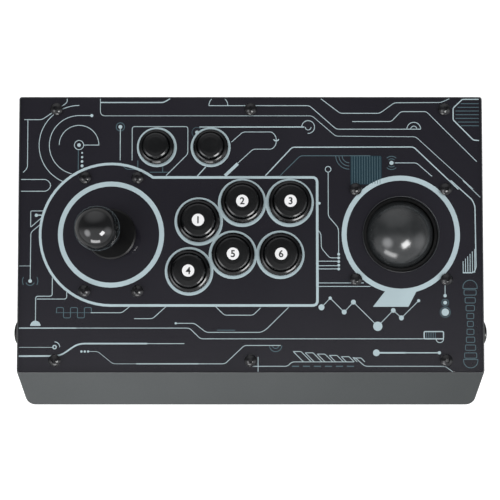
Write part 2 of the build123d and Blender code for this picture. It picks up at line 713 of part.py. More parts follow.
def idler_ear(side):
    """One of the two ears that hold the idler's pin."""
    near, far = side * (EAR_FAR - EAR_T), side * EAR_FAR
    head = rod(EAR_R, idler_point(near), idler_point(far))
    leg = Box(EAR_T, 2 * EAR_R, IDLER_Z - UNIT_FLOOR + CUT)
    x, y, _ = idler_point((near + far) / 2)
    leg = Pos(x, y, (IDLER_Z + UNIT_FLOOR - CUT) / 2) * Rot(0, 0, -45) * leg
    return head + leg - rod(IDLER_PIN_R, idler_point(-2 * EAR_FAR), idler_point(2 * EAR_FAR))


def trackball_housing_screws():
    """Four flat-topped screws through the collar's flange into the housing."""
    screw = cyl(UNIT_HEAD_R, -UNIT_HEAD_H, 0) + cyl(SMALL_PILOT, -UNIT_SCREW_L, -UNIT_HEAD_H)
    return group(ball_at(Pos(x, y, MOUNT_BOTTOM) * screw) for x, y in grid(UNIT_SCREWS, (0, 0)))


def trackball():
    """The ball itself."""
    return Pos(*TRACKBALL, BALL_Z) * Sphere(TRACKBALL_R)


def front_roller():
    """Roller along X under the ball's front, its axle stepped down for the bearings."""
    axle = (NEAR_BEARING[0], WHEEL_AT[1] + 1.5)
    return ball_at(along(ROLLER_R, (-ROLLER_HALF, ROLLER_HALF)) + along(AXLE_R, axle))


def left_roller():
    """The same roller along Y, under the ball's left side."""
    return ball_at(swapped(Pos(-TRACKBALL_X, -PANEL_Y, 0) * front_roller()))


def encoder_wheel():
    """Slotted disc pressed on the roller's axle."""
    through = (WHEEL_AT[0] - CUT, WHEEL_AT[1] + CUT)
    wheel = along(WHEEL_R, WHEEL_AT) - along(AXLE_R, through)
    slot = block(through, (-0.6, 0.6), (WHEEL_R - 2.6, WHEEL_R - 0.8))
    for i in range(WHEEL_SLOTS):
        turn = 360 * i / WHEEL_SLOTS
        wheel -= Pos(0, -ROLLER_OFF, ROLLER_Z) * Rot(turn, 0, 0) * slot
    return wheel


def front_encoder_wheel():
    """Encoder wheel of the front roller."""
    return ball_at(encoder_wheel())


def left_encoder_wheel():
    """Encoder wheel of the left roller."""
    return ball_at(swapped(encoder_wheel()))


def roller_bearings():
    """Four bearings in the housing's posts."""
    rings = []
    for low, high in (NEAR_BEARING, FAR_BEARING):
        race = along(BEARING_R, (low, high)) - along(AXLE_R + GAP, (low - CUT, high + CUT))
        rings += [race, swapped(race)]
    return group(ball_at(race) for race in rings)


def idler_bearing():
    """Bearing that the ball rests on at the back right."""
    half = IDLER_T / 2
    body = rod(IDLER_R, idler_point(-half), idler_point(half))
    body -= rod(IDLER_PIN_R + GAP, idler_point(-half - CUT), idler_point(half + CUT))
    return ball_at(body)


def idler_pin():
    """Steel pin in the housing's two ears."""
    return ball_at(rod(IDLER_PIN_R, idler_point(-EAR_FAR), idler_point(EAR_FAR)))


def sensor_fork():
    """Optical sensor that straddles the encoder wheel's rim."""
    body = block((WHEEL_AT[0] - 2.6, WHEEL_AT[1] + 3.4), (-38.4, -29.5), (ROLLER_Z - 4, ROLLER_Z + 4))
    slot = (ROLLER_Z - 5, ROLLER_Z + 5)
    return body - block((WHEEL_AT[0] - 0.6, WHEEL_AT[1] + 0.6), (-34.5, -29), slot)


def optical_sensors():
    """One optical sensor for each encoder wheel."""
    return group([ball_at(sensor_fork()), ball_at(swapped(sensor_fork()))])


def trackball_sensor_boards():
    """Small upright circuit boards behind the optical sensors."""
    inside = UNIT_WALL - UNIT_HALF
    board = block((18, 38), (inside, inside + 1.0), (ROLLER_Z - 8, ROLLER_Z + 12))
    return group([ball_at(board), ball_at(swapped(board))])


# ---------------------------------------------------------------- electronics
CHIP = (14.0, 14.0, 1.4)
HEADER_STEP = 11.0
HEADER_H = 5.0
HEADER_HALF = (4.0, 3.0)
HEADER_Y = BOARD_Y - 29.0
HEADERS = [HEADER_STEP * i for i in range(-3, 4)]


def encoder_board():
    """USB encoder board with its controller chip and two rows of plug headers."""
    low, high = BOARD_Z, BOARD_Z + BOARD_T
    board = rounded_slab(BOARD_W, BOARD_D, low, high, 2, 0, BOARD_Y)
    for x, y in grid(STANDOFFS, (0, BOARD_Y)):
        board -= cyl(SMALL_HOLE, low - CUT, high + CUT, x, y)
    board += Pos(0, BOARD_Y - 5, high + CHIP[2] / 2) * Box(*CHIP)
    half_w, half_d = HEADER_HALF
    for x in HEADERS:
        header = (x - half_w, x + half_w), (HEADER_Y - half_d, HEADER_Y + half_d)
        board += block(*header, (high - BOARD_T / 2, high + HEADER_H))
    return board


def encoder_board_standoffs():
    """Hexagon spacers between the bottom plate and the board."""
    spacer = extrude(RegularPolygon(3.2, 6) - Circle(SMALL_HOLE), BOARD_Z - FLOOR)
    return group(Pos(x, y, FLOOR) * spacer for x, y in grid(STANDOFFS, (0, BOARD_Y)))


def encoder_board_screws():
    """Small screws through the board into its spacers."""
    screw = button_screw(BOARD_T + 5, 2.8, 1.8, 1.5)
    return group(Pos(x, y, BOARD_Z + BOARD_T) * screw for x, y in grid(STANDOFFS, (0, BOARD_Y)))


def usb_socket():
    """Metal-shelled USB socket on the board's back edge, just inside the case's cut-out."""
    low = BOARD_Z + BOARD_T
    mouth, tail = BACK - WALL - 1.0, BACK - WALL - 17.0
    body = block((-6, 6), (tail, mouth), (low, low + SOCKET_H))
    body -= block((-4.3, 4.3), (mouth - 9, mouth + 1), (low + 1.6, low + 9.4))
    tongue = block((-2.8, 2.8), (mouth - 10, mouth - 1), (low + 3.9, low + 7.1))
    return body + tongue


LOOM_R = 1.6
SWITCH_END = PANEL_TOP - SWITCH_TOP - SWITCH_SIZE[2] - 1.5  # just below a panel button's switch
SIDE_END = CASE_W / 2 - SWITCH_TOP - SWITCH_SIZE[2] - 1.5
SIDE_Y = SIDE_BUTTON_Y + PANEL_Y
# Where each loom goes after its header: small buttons, left side button, joystick, main buttons
# (two looms), right side button, trackball.
LOOM_ENDS = [
    [(-48, 62, 36), (-52, SMALL[0][1], SWITCH_END - 1)],
    [(-45, 12, 22), (-80, -45, 16), (-SIDE_END, SIDE_Y, SIDE_BUTTON_Z)],
    [(-30, 25, 28), (-62, 14, 30), (STICK_X + HOUSING_HALF + 0.5, PANEL_Y, 34)],
    [(-12, 20, 30), (MAIN[4][0], MAIN[4][1], SWITCH_END)],
    [(14, 20, 30), (MAIN[5][0], MAIN[5][1], SWITCH_END)],
    [(45, 10, 22), (90, -45, 16), (SIDE_END, SIDE_Y, SIDE_BUTTON_Z)],
    [(48, 34, 30), (TRACKBALL_X - UNIT_HALF - 0.5, PANEL_Y, 40)],
]


def loom(start, points, end_direction):
    """Round bundle of wires: it leaves its header upwards and bends smoothly to its end."""
    path = Spline(start, *points, tangents=[(0, 0, 1), end_direction])
    return sweep(Plane(origin=path @ 0, z_dir=path % 0) * Circle(LOOM_R), path=path)


def wiring_looms():
    """Bundles from the board's headers to the joystick, the buttons and the trackball."""
    up, left, right = (0, 0, 1), (-1, 0, 0), (1, 0, 0)
    ways = [up, left, left, up, up, right, right]
    starts = [(x, HEADER_Y, BOARD_Z + BOARD_T + HEADER_H + GAP) for x in HEADERS]
    return group(loom(*parts) for parts in zip(starts, LOOM_ENDS, ways))


# ---------------------------------------------------------------- export
NODES = {
    "case_shell": case_shell,
    "threaded_inserts": threaded_inserts,
    "bottom_plate": bottom_plate,
    "bottom_plate_screws": bottom_plate_screws,
    "rubber_feet": rubber_feet,
    "acrylic_panel": acrylic_panel,
    "artwork_sheet": artwork_sheet,
    "control_plate": control_plate,
    "panel_screws": panel_screws,
    "control_mounting_screws": control_mounting_screws,
    "control_mounting_nuts": control_mounting_nuts,
    "joystick_mounting_plate": joystick_mounting_plate,
    "joystick_housing": joystick_housing,
    "gimbal_ring": gimbal_ring,
    "cross_pin": cross_pin,
    "stick_shaft": stick_shaft,
    "retaining_clip": retaining_clip,
    "actuator": actuator,
    "return_spring": return_spring,
    "shaft_cover": shaft_cover,
    "ball_knob": ball_knob,
    "washer_hub": washer_hub,
    "dust_washer": dust_washer,
    "restrictor_gate": restrictor_gate,
    "joystick_microswitches": joystick_microswitches,
    "main_button_housings": main_button_housings,
    "small_button_housings": small_button_housings,
    "button_nuts": button_nuts,
    "button_springs": button_springs,
    "button_microswitches": button_microswitches,
    "trackball_mounting_plate": trackball_mounting_plate,
    "trackball_collar": trackball_collar,
    "trackball_housing": trackball_housing,
    "trackball_housing_screws": trackball_housing_screws,
    "trackball": trackball,
    "front_roller": front_roller,
    "left_roller": left_roller,
    "front_encoder_wheel": front_encoder_wheel,
    "left_encoder_wheel": left_encoder_wheel,
    "roller_bearings": roller_bearings,
    "idler_bearing": idler_bearing,
    "idler_pin": idler_pin,
    "optical_sensors": optical_sensors,
    "trackball_sensor_boards": trackball_sensor_boards,
    "encoder_board": encoder_board,
    "encoder_board_standoffs": encoder_board_standoffs,
    "encoder_board_screws": encoder_board_screws,
    "usb_socket": usb_socket,
    "wiring_looms": wiring_looms,
}

PLUNGERS = {f"main_plunger_{i}": button for i, button in enumerate(MAIN_SET, 1)}
PLUNGERS |= zip(("left_small_plunger", "right_small_plunger"), SMALL_SET)
PLUNGERS |= zip(("left_side_plunger", "right_side_plunger"), SIDE_SET)

os.makedirs("parts", exist_ok=True)
for name, make in NODES.items():
    export_step(make(), f"parts/{name}.step")
for name, (place, size) in PLUNGERS.items():
    export_step(place * button_plunger(size), f"parts/{name}.step")
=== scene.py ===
import math

import bmesh
import bpy
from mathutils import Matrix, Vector


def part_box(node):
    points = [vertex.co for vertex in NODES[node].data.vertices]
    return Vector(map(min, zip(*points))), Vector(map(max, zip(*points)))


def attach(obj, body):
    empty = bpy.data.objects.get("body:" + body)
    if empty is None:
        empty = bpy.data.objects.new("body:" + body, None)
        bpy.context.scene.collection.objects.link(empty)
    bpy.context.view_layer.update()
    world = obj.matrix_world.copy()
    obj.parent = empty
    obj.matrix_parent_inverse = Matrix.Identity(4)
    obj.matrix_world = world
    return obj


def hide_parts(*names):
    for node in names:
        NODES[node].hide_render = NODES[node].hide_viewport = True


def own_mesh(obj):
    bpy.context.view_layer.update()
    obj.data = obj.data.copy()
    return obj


# Looks of the arcade control box: materials for every CAD node, the printed circuit artwork under
# the clear panel, the numbered discs on the main buttons, the floor, the lights and the camera.
# Everything is in metres, in the frame of the CAD.

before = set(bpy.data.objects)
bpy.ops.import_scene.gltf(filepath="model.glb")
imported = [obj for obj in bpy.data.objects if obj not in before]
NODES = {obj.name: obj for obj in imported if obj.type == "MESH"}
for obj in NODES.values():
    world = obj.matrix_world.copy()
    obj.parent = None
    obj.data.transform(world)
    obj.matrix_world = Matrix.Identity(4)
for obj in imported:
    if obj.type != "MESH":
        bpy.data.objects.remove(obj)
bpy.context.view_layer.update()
MM = 0.001


# ---------------------------------------------------------------- places taken from the frame
def middle(node):
    """Centre of a CAD node's box."""
    low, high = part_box(node)
    return (low + high) / 2


PANEL_LOW, PANEL_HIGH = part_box("acrylic_panel")
PANEL = middle("acrylic_panel")
PANEL_W = (PANEL_HIGH.x - PANEL_LOW.x) / MM
PANEL_D = (PANEL_HIGH.y - PANEL_LOW.y) / MM
SHEET_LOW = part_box("artwork_sheet")[0].z
MAIN_PLUNGERS = [f"main_plunger_{i}" for i in range(1, 7)]
SMALL_PLUNGERS = ["left_small_plunger", "right_small_plunger"]


def on_panel(node):
    """Where a control stands, in millimetres from the panel's centre."""
    place = (middle(node) - PANEL) / MM
    return place.x, place.y


STICK = on_panel("dust_washer")
TRACKBALL = on_panel("trackball")
MAIN = [on_panel(node) for node in MAIN_PLUNGERS]
SMALL = [on_panel(node) for node in SMALL_PLUNGERS]


# ---------------------------------------------------------------- materials
class Surface:
    """A material's node tree, with short ways to add nodes and join them."""

    def __init__(self, name):
        self.material = bpy.data.materials.new(name)
        self.material.use_nodes = True
        self.tree = self.material.node_tree
        self.tree.nodes.clear()
        self.output = self.node("ShaderNodeOutputMaterial")
        self.place = self.node("ShaderNodeTexCoord").outputs["Object"]

    def feed(self, socket, value):
        """Joins a socket to another one, or gives it a fixed value."""
        if isinstance(value, bpy.types.NodeSocket):
            self.tree.links.new(value, socket)
        else:
            socket.default_value = value

    def node(self, kind, inputs=None, **settings):
        made = self.tree.nodes.new(kind)
        for name, value in settings.items():
            setattr(made, name, value)
        for name, value in (inputs or {}).items():
            self.feed(made.inputs[name], value)
        return made

    def noise(self, grain, detail=4.0, stretch=(1.0, 1.0, 1.0)):
        """Noise whose features are about grain millimetres wide."""
        place = self.node("ShaderNodeMapping", {"Vector": self.place, "Scale": stretch})
        inputs = {"Vector": place.outputs["Vector"], "Scale": 1 / (grain * MM), "Detail": detail}
        return self.node("ShaderNodeTexNoise", inputs).outputs["Fac"]

    def span(self, value, low, high, start=0.35, end=0.65):
        """Spreads a value from start to end over low to high."""
        inputs = {"Value": value, "From Min": start, "From Max": end, "To Min": low, "To Max": high}
        return self.node("ShaderNodeMapRange", inputs).outputs["Result"]

    def math(self, operation, a, b=0.0):
        made = self.node("ShaderNodeMath", operation=operation)
        self.feed(made.inputs[0], a)
        self.feed(made.inputs[1], b)
        return made.outputs["Value"]

    def tint(self, share, dark, light):
        """Colour between two colours."""
        made = self.node("ShaderNodeMix", data_type="RGBA")
        factor, first, second = made.inputs[0], made.inputs[6], made.inputs[7]
        self.feed(factor, share)
        self.feed(first, (*dark, 1.0))
        self.feed(second, (*light, 1.0))
        return made.outputs[2]

    def bump(self, height, depth, strength=1.0):
        """Surface relief of about depth millimetres."""
        inputs = {"Height": height, "Distance": depth * MM, "Strength": strength}
        return self.node("ShaderNodeBump", inputs).outputs["Normal"]

    def principled(self, **inputs):
        """One Principled shader, its inputs named with underscores for spaces."""
        named = {name.replace("_", " "): value for name, value in inputs.items()}
        return self.node("ShaderNodeBsdfPrincipled", named).outputs["BSDF"]

    def finish(self, shader):
        self.feed(self.output.inputs["Surface"], shader)
        return self.material


def textured_paint():
    """Dark grey satin powder coat with a fine orange-peel grain."""
    s = Surface("textured_paint")
    cloud = s.noise(80.0, 3.0)
    grain = s.noise(1.6, 2.0)
    return s.finish(s.principled(
        Base_Color=s.tint(s.span(cloud, 0.0, 1.0), (0.045, 0.0500, 0.0510), (0.050, 0.0555, 0.0565)),
        Roughness=s.span(grain, 0.48, 0.54),
        Normal=s.bump(grain, 0.01, 0.3),
        Specular_IOR_Level=0.4,
    ))


def clear_acrylic():
    """Clear sheet: mirror-like on top, nearly invisible otherwise, frosted on its sawn edges."""
    s = Surface("clear_acrylic")
    geometry = s.node("ShaderNodeNewGeometry")
    front = s.math("SUBTRACT", 1.0, geometry.outputs["Backfacing"])
    fresnel = s.node("ShaderNodeFresnel", {"IOR": 1.49}).outputs["Fac"]
    smudge = s.noise(30.0, 5.0)
    shine = s.node("ShaderNodeBsdfGlossy", {"Roughness": s.span(smudge, 0.03, 0.06)})
    through = s.node("ShaderNodeBsdfTransparent", {"Color": (0.97, 0.98, 0.98, 1.0)})
    face = s.node("ShaderNodeMixShader", {"Fac": s.math("MULTIPLY", fresnel, front)})
    s.feed(face.inputs[1], through.outputs["BSDF"])
    s.feed(face.inputs[2], shine.outputs["BSDF"])
    saw = s.noise(0.4, 3.0, (1.0, 1.0, 0.2))
    edge = s.principled(
        Base_Color=s.tint(saw, (0.05, 0.055, 0.058), (0.13, 0.14, 0.145)),
        Roughness=s.span(saw, 0.25, 0.45),
        Normal=s.bump(saw, 0.03, 0.5),
        Alpha=0.75,
    )
    bevel = s.principled(
        Base_Color=s.tint(saw, (0.05, 0.055, 0.06), (0.08, 0.085, 0.09)),
        Roughness=s.span(saw, 0.28, 0.36),
        Specular_IOR_Level=1.0,
        Coat_Weight=1.0,
        Coat_Roughness=0.2,
        Coat_IOR=2.2,
    )
    split = s.node("ShaderNodeSeparateXYZ", {"Vector": geometry.outputs["True Normal"]})
    flatness = s.math("ABSOLUTE", split.outputs["Z"])
    sloping = s.node("ShaderNodeMixShader", {"Fac": s.math("LESS_THAN", flatness, 0.95)})
    s.feed(sloping.inputs[1], face.outputs["Shader"])
    s.feed(sloping.inputs[2], bevel)
    both = s.node("ShaderNodeMixShader", {"Fac": s.math("LESS_THAN", flatness, 0.5)})
    s.feed(both.inputs[1], sloping.outputs["Shader"])
    s.feed(both.inputs[2], edge)
    return s.finish(both.outputs["Shader"])


def printed_night():
    """Blue-black printed ground of the artwork, with the faint mottling of a wide print."""
    s = Surface("printed_night")
    cloud = s.noise(70.0, 3.0)
    dots = s.noise(2.5, 2.0)
    share = s.math("ADD", s.span(cloud, 0.0, 0.9), s.span(dots, 0.0, 0.1))
    return s.finish(s.principled(
        Base_Color=s.tint(share, (0.0120, 0.0108, 0.0160), (0.0150, 0.0138, 0.0195)),
        Roughness=s.span(dots, 0.55, 0.6),
        Specular_IOR_Level=0.05,
    ))


def printed_ink(name, light):
    """Pale printed ink, slightly uneven in density."""
    s = Surface(name)
    cloud = s.noise(25.0, 3.0)
    dark = tuple(c * 0.93 for c in light)
    return s.finish(s.principled(
        Base_Color=s.tint(s.span(cloud, 0.0, 1.0), dark, light),
        Roughness=s.span(cloud, 0.55, 0.6),
        Specular_IOR_Level=0.05,
    ))


def moulded_plastic(name, dark, light, roughness, grain=0.8, depth=0.01, shine=0.5):
    """Moulded plastic or smooth coating: colour drift, fine grain and faint handling marks."""
    s = Surface(name)
    drift = s.noise(12.0, 3.0)
    skin = s.noise(grain, 3.0)
    marks = s.noise(1.2, 2.0, (1.0, 12.0, 1.0))
    relief = s.math("ADD", skin, s.math("MULTIPLY", marks, 0.3))
    low, high = roughness
    return s.finish(s.principled(
        Base_Color=s.tint(s.span(drift, 0.0, 1.0), dark, light),
        Roughness=s.span(s.math("MULTIPLY", s.math("ADD", drift, marks), 0.5), low, high),
        Normal=s.bump(relief, depth, 0.3),
        Specular_IOR_Level=shine,
    ))


def polished_resin(name, dark, light, roughness, coat_roughness):
    """Deep glossy resin of the trackball and the joystick's ball, with hairline scuffs."""
    s = Surface(name)
    drift = s.noise(9.0, 3.0)
    scuff = s.noise(0.7, 4.0, (1.0, 6.0, 2.0))
    return s.finish(s.principled(
        Base_Color=s.tint(s.span(drift, 0.0, 1.0), dark, light),
        Roughness=s.span(scuff, *roughness, 0.4, 0.75),
        Normal=s.bump(s.noise(6.0, 2.0), 0.01, 0.15),
        Coat_Weight=0.4,
        Coat_Roughness=coat_roughness,
    ))


def metal(name, dark, light, roughness, grain=0.5, stretch=(1.0, 1.0, 1.0)):
    """Plain metal with a brushed or plated grain."""
    s = Surface(name)
    cloud = s.noise(8.0, 3.0)
    brush = s.noise(grain, 3.0, stretch)
    low, high = roughness
    return s.finish(s.principled(
        Base_Color=s.tint(s.span(cloud, 0.0, 1.0), dark, light),
        Metallic=1.0,
        Roughness=s.span(brush, low, high),
        Normal=s.bump(brush, 0.01, 0.3),
    ))


def rubber():
    """Matt black rubber with a dusty grain."""
    s = Surface("foot_rubber")
    dust = s.noise(2.0, 5.0)
    return s.finish(s.principled(
        Base_Color=s.tint(s.span(dust, 0.0, 1.0), (0.015, 0.015, 0.015), (0.035, 0.034, 0.032)),
        Roughness=s.span(dust, 0.75, 0.9),
        Normal=s.bump(dust, 0.1, 0.5),
        Specular_IOR_Level=0.25,
    ))


def circuit_board():
    """Green solder mask over faint copper tracks."""
    s = Surface("circuit_board")
    tracks = s.node("ShaderNodeTexBrick", {"Vector": s.place, "Scale": 140.0, "Mortar Size": 0.06})
    share = s.math("ADD", s.math("MULTIPLY", tracks.outputs["Fac"], 0.7), s.span(s.noise(4.0), 0.0, 0.3))
    return s.finish(s.principled(
        Base_Color=s.tint(share, (0.010, 0.085, 0.035), (0.030, 0.160, 0.060)),
        Roughness=s.span(s.noise(1.0), 0.28, 0.4),
        Normal=s.bump(tracks.outputs["Fac"], 0.03, 0.4),
    ))


def wire_insulation():
    """Dark red sheathing of the looms, with the ridges of the wires inside."""
    s = Surface("wire_insulation")
    ridges = s.noise(1.2, 2.0, (0.3, 1.0, 1.0))
    return s.finish(s.principled(
        Base_Color=s.tint(s.span(ridges, 0.0, 1.0), (0.16, 0.014, 0.012), (0.28, 0.030, 0.026)),
        Roughness=s.span(ridges, 0.45, 0.6),
        Normal=s.bump(ridges, 0.3, 0.6),
    ))


def studio_paper():
    """Pale floor, lit from below so that shadows stay faint, and dim where gloss mirrors it."""
    s = Surface("studio_paper")
    fibre = s.noise(3.0, 4.0)
    mirrored = s.node("ShaderNodeLightPath").outputs["Is Glossy Ray"]
    pale = s.tint(s.span(fibre, 0.0, 1.0), (0.84, 0.84, 0.84), (0.86, 0.86, 0.86))
    seen = s.node("ShaderNodeMix", data_type="RGBA")
    s.feed(seen.inputs[0], mirrored)
    s.feed(seen.inputs[6], pale)
    s.feed(seen.inputs[7], (0.35, 0.35, 0.35, 1.0))
    return s.finish(s.principled(
        Base_Color=seen.outputs[2],
        Roughness=s.span(fibre, 0.85, 0.95),
        Specular_IOR_Level=0.1,
        Emission_Color=pale,
        Emission_Strength=s.span(mirrored, 0.65, 0.12, 0.0, 1.0),
    ))


DEEP_BLACK = ((0.0014, 0.0014, 0.0016), (0.0026, 0.0026, 0.0028))
BLACK = ((0.0028, 0.0030, 0.0034), (0.0050, 0.0053, 0.0058))
SOFT_BLACK = ((0.006, 0.006, 0.0065), (0.011, 0.011, 0.012))
OXIDE = ((0.0055, 0.0055, 0.0065), (0.009, 0.009, 0.0105))
SMOKE = ((0.020, 0.022, 0.023), (0.028, 0.030, 0.031))
gloss_black = moulded_plastic("gloss_black_plastic", *BLACK, (0.13, 0.22))
velvet_black = moulded_plastic("deep_black_plastic", *DEEP_BLACK, (0.30, 0.40), 0.5, 0.01, 0.22)
satin_black = moulded_plastic("satin_black_plastic", *SOFT_BLACK, (0.30, 0.42), 0.5, 0.03)
zinc = metal("zinc_plate", (0.46, 0.46, 0.47), (0.62, 0.62, 0.62), (0.30, 0.45), 1.5)
steel = metal("bright_steel", (0.50, 0.50, 0.50), (0.62, 0.61, 0.60), (0.15, 0.28), 0.5, (1.0, 1.0, 8.0))
black_steel = moulded_plastic("blackened_steel", *OXIDE, (0.17, 0.25), 0.6)
SURFACES = [
    (textured_paint(), ["case_shell"]),
    (clear_acrylic(), ["acrylic_panel"]),
    (polished_resin("black_resin", *BLACK, (0.07, 0.15), 0.03), ["ball_knob"]),
    (polished_resin("smoke_resin", *SMOKE, (0.17, 0.25), 0.15), ["trackball"]),
    (gloss_black, ["main_button_housings", "small_button_housings", *MAIN_PLUNGERS, *SMALL_PLUNGERS,
                   "left_side_plunger", "right_side_plunger"]),
    (satin_black, ["joystick_housing", "restrictor_gate", "gimbal_ring", "actuator", "washer_hub",
                   "button_nuts", "trackball_housing"]),
    (velvet_black, ["dust_washer", "shaft_cover", "trackball_collar"]),
    (black_steel, ["panel_screws", "control_mounting_screws"]),
    (zinc, ["control_plate", "bottom_plate", "joystick_mounting_plate", "trackball_mounting_plate",
            "bottom_plate_screws", "control_mounting_nuts", "trackball_housing_screws",
            "encoder_board_screws", "usb_socket"]),
    (steel, ["stick_shaft", "cross_pin", "retaining_clip", "return_spring", "button_springs",
             "idler_pin", "idler_bearing", "roller_bearings", "front_roller", "left_roller"]),
    (metal("brass", (0.60, 0.42, 0.16), (0.74, 0.54, 0.24), (0.2, 0.35)),
     ["threaded_inserts", "encoder_board_standoffs"]),
    (moulded_plastic("switch_plastic", (0.035, 0.035, 0.037), (0.05, 0.05, 0.053), (0.35, 0.5), 0.5, 0.03),
     ["joystick_microswitches", "button_microswitches"]),
    (moulded_plastic("smoked_plastic", (0.05, 0.05, 0.055), (0.08, 0.08, 0.085), (0.2, 0.3), 0.5, 0.02),
     ["front_encoder_wheel", "left_encoder_wheel", "optical_sensors"]),
    (circuit_board(), ["encoder_board", "trackball_sensor_boards"]),
    (wire_insulation(), ["wiring_looms"]),
    (rubber(), ["rubber_feet"]),
]


def paint(thing, material):
    """Gives an object one material in place of those it has."""
    thing.data.materials.clear()
    thing.data.materials.append(material)


for surface, names in SURFACES:
    for name in names:
        paint(NODES[name], surface)


# ---------------------------------------------------------------- flat printed shapes
def add_piece(name, mesh_data, material, body):
    """Turns finished mesh data into a piece that rides on a CAD body."""
    mesh = bpy.data.meshes.new(name)
    mesh_data.to_mesh(mesh)
    mesh_data.free()
    piece = bpy.data.objects.new(name, mesh)
    bpy.context.scene.collection.objects.link(piece)
    paint(piece, material)
    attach(piece, body)
    return piece


def arc(centre, radius, start, end, step=6.0):
    """Points along an arc, its angles in degrees from +X."""
    count = max(2, math.ceil(abs(end - start) / step))
    turns = [math.radians(start + (end - start) * i / count) for i in range(count + 1)]
    return [(centre[0] + radius * math.cos(t), centre[1] + radius * math.sin(t)) for t in turns]


def rounded(points, radius, closed=False, steps=5):
    """The same line with each corner replaced by a short curve."""
    line = []
    count = len(points)
    for i, point in enumerate(points):
        if not closed and i in (0, count - 1):
            line.append(point)
            continue
        corner = Vector(point)
        before = Vector(points[i - 1]) - corner
        after = Vector(points[(i + 1) % count]) - corner
        start = corner + before.normalized() * min(radius, before.length / 2)
        end = corner + after.normalized() * min(radius, after.length / 2)
        for k in range(steps + 1):
            t = k / steps
            line.append(tuple(start.lerp(corner, t).lerp(corner.lerp(end, t), t)))
    return line


class Ink:
    """One colour of ink: flat closed strips, discs and plates, in millimetres on the panel."""

    def __init__(self, low, high):
        self.mesh = bmesh.new()
        self.low = low
        self.high = high

    def thicken(self):
        """Each shape is a hair thicker than the last, so that crossing shapes never share a face."""
        self.high += INK_STEP

    def prism(self, outline):
        """Upright prism over a convex outline."""
        self.thicken()
        low = [self.mesh.verts.new(self.lift(p, self.low)) for p in outline]
        high = [self.mesh.verts.new(self.lift(p, self.high)) for p in outline]
        self.mesh.faces.new(high)
        self.mesh.faces.new(low[::-1])
        for i in range(len(outline)):
            j = (i + 1) % len(outline)
            self.mesh.faces.new((low[i], low[j], high[j], high[i]))

    def lift(self, point, height):
        return PANEL.x + point[0] * MM, PANEL.y + point[1] * MM, height

    def strip(self, points, width, closed=False):
        """A line of ink of even width, its corners mitred."""
        self.thicken()
        left, right = rails(points, width / 2, closed)
        rings = []
        for a, b in zip(left, right):
            heights = (b, self.low), (a, self.low), (a, self.high), (b, self.high)
            rings.append([self.mesh.verts.new(self.lift(p, z)) for p, z in heights])
        spans = list(zip(rings, rings[1:]))
        if closed:
            spans.append((rings[-1], rings[0]))
        else:
            self.mesh.faces.new(rings[0])
            self.mesh.faces.new(rings[-1][::-1])
        for one, two in spans:
            for i in range(4):
                j = (i + 1) % 4
                self.mesh.faces.new((one[j], one[i], two[i], two[j]))

    def line(self, *points, width=0.5, corner=2.0):
        self.strip(rounded(points, corner), width)

    def loop(self, *points, width=0.5, corner=1.0):
        self.strip(rounded(points, corner, closed=True), width, closed=True)

    def circle(self, centre, radius, width=0.5):
        self.strip(arc(centre, radius, 0, 354), width, closed=True)

    def bow(self, centre, radius, start, end, width=0.5):
        self.strip(arc(centre, radius, start, end), width)

    def dot(self, centre, radius):
        self.prism(arc(centre, radius, 0, 350, 10))

    def dome(self, centre, radius, start):
        """Filled half disc."""
        self.prism(arc(centre, radius, start, start + 180))


def rails(points, half, closed):
    """The left and right edges of a strip along a line."""
    left, right = [], []
    count = len(points)
    for i, point in enumerate(points):
        here = Vector(point)
        ways = []
        if closed or i > 0:
            ways.append((here - Vector(points[i - 1])).normalized())
        if closed or i < count - 1:
            ways.append((Vector(points[(i + 1) % count]) - here).normalized())
        way = sum(ways, Vector((0, 0))).normalized()
        side = Vector((-way.y, way.x))
        reach = half / max(abs(side.dot(Vector((-ways[0].y, ways[0].x)))), 0.5)
        left.append(tuple(here + side * reach))
        right.append(tuple(here - side * reach))
    return left, right


# ---------------------------------------------------------------- printed sheet under the acrylic
PRINT_RISE = 0.02 * MM  # the print stands this far into the acrylic, so that the two never coincide
INK_RISE = 0.02 * MM
INK_STEP = 0.0004 * MM
HOLE_STEP = 5.0  # degrees
SHAFT_HOLE_R, BALL_HOLE_R, MAIN_HOLE_R, SMALL_HOLE_R, SCREW_HOLE_R = 13.5, 29.3, 15.0, 12.0, 2.2
PANEL_CORNER = 2.0


def node_shape(node):
    """A CAD node's mesh with its corners joined up, and the sets of corners that hang together."""
    shape = bmesh.new()
    shape.from_mesh(NODES[node].data)
    bmesh.ops.remove_doubles(shape, verts=shape.verts, dist=0.001 * MM)
    shape.verts.index_update()
    left = set(shape.verts)
    islands = []
    while left:
        island, edge = set(), [next(iter(left))]
        while edge:
            vert = edge.pop()
            if vert in island:
                continue
            island.add(vert)
            edge += [e.other_vert(vert) for e in vert.link_edges]
        left -= island
        islands.append(island)
    return shape, islands


def box_of(verts):
    """The low and high corners of the box round some vertices."""
    low = Vector(min(v.co[i] for v in verts) for i in range(3))
    high = Vector(max(v.co[i] for v in verts) for i in range(3))
    return low, high


def node_places(node):
    """Where each separate solid of a CAD node stands on the panel."""
    shape, islands = node_shape(node)
    places = []
    for island in islands:
        low, high = box_of(island)
        place = ((low + high) / 2 - PANEL) / MM
        places.append((place.x, place.y))
    shape.free()
    return sorted(places)


def sheet_outlines():
    """The printed sheet's edge and its holes, as closed lines."""
    w, d = PANEL_W / 2, PANEL_D / 2
    corners = [(-w, -d), (w, -d), (w, d), (-w, d)]
    outlines = [rounded(corners, PANEL_CORNER, closed=True)]
    holes = [(STICK, SHAFT_HOLE_R), (TRACKBALL, BALL_HOLE_R)]
    holes += [(place, MAIN_HOLE_R) for place in MAIN] + [(place, SMALL_HOLE_R) for place in SMALL]
    for node in ("panel_screws", "control_mounting_screws"):
        holes += [(place, SCREW_HOLE_R) for place in node_places(node)]
    outlines += [arc(place, radius, 0, 360 - HOLE_STEP, HOLE_STEP) for place, radius in holes]
    return outlines


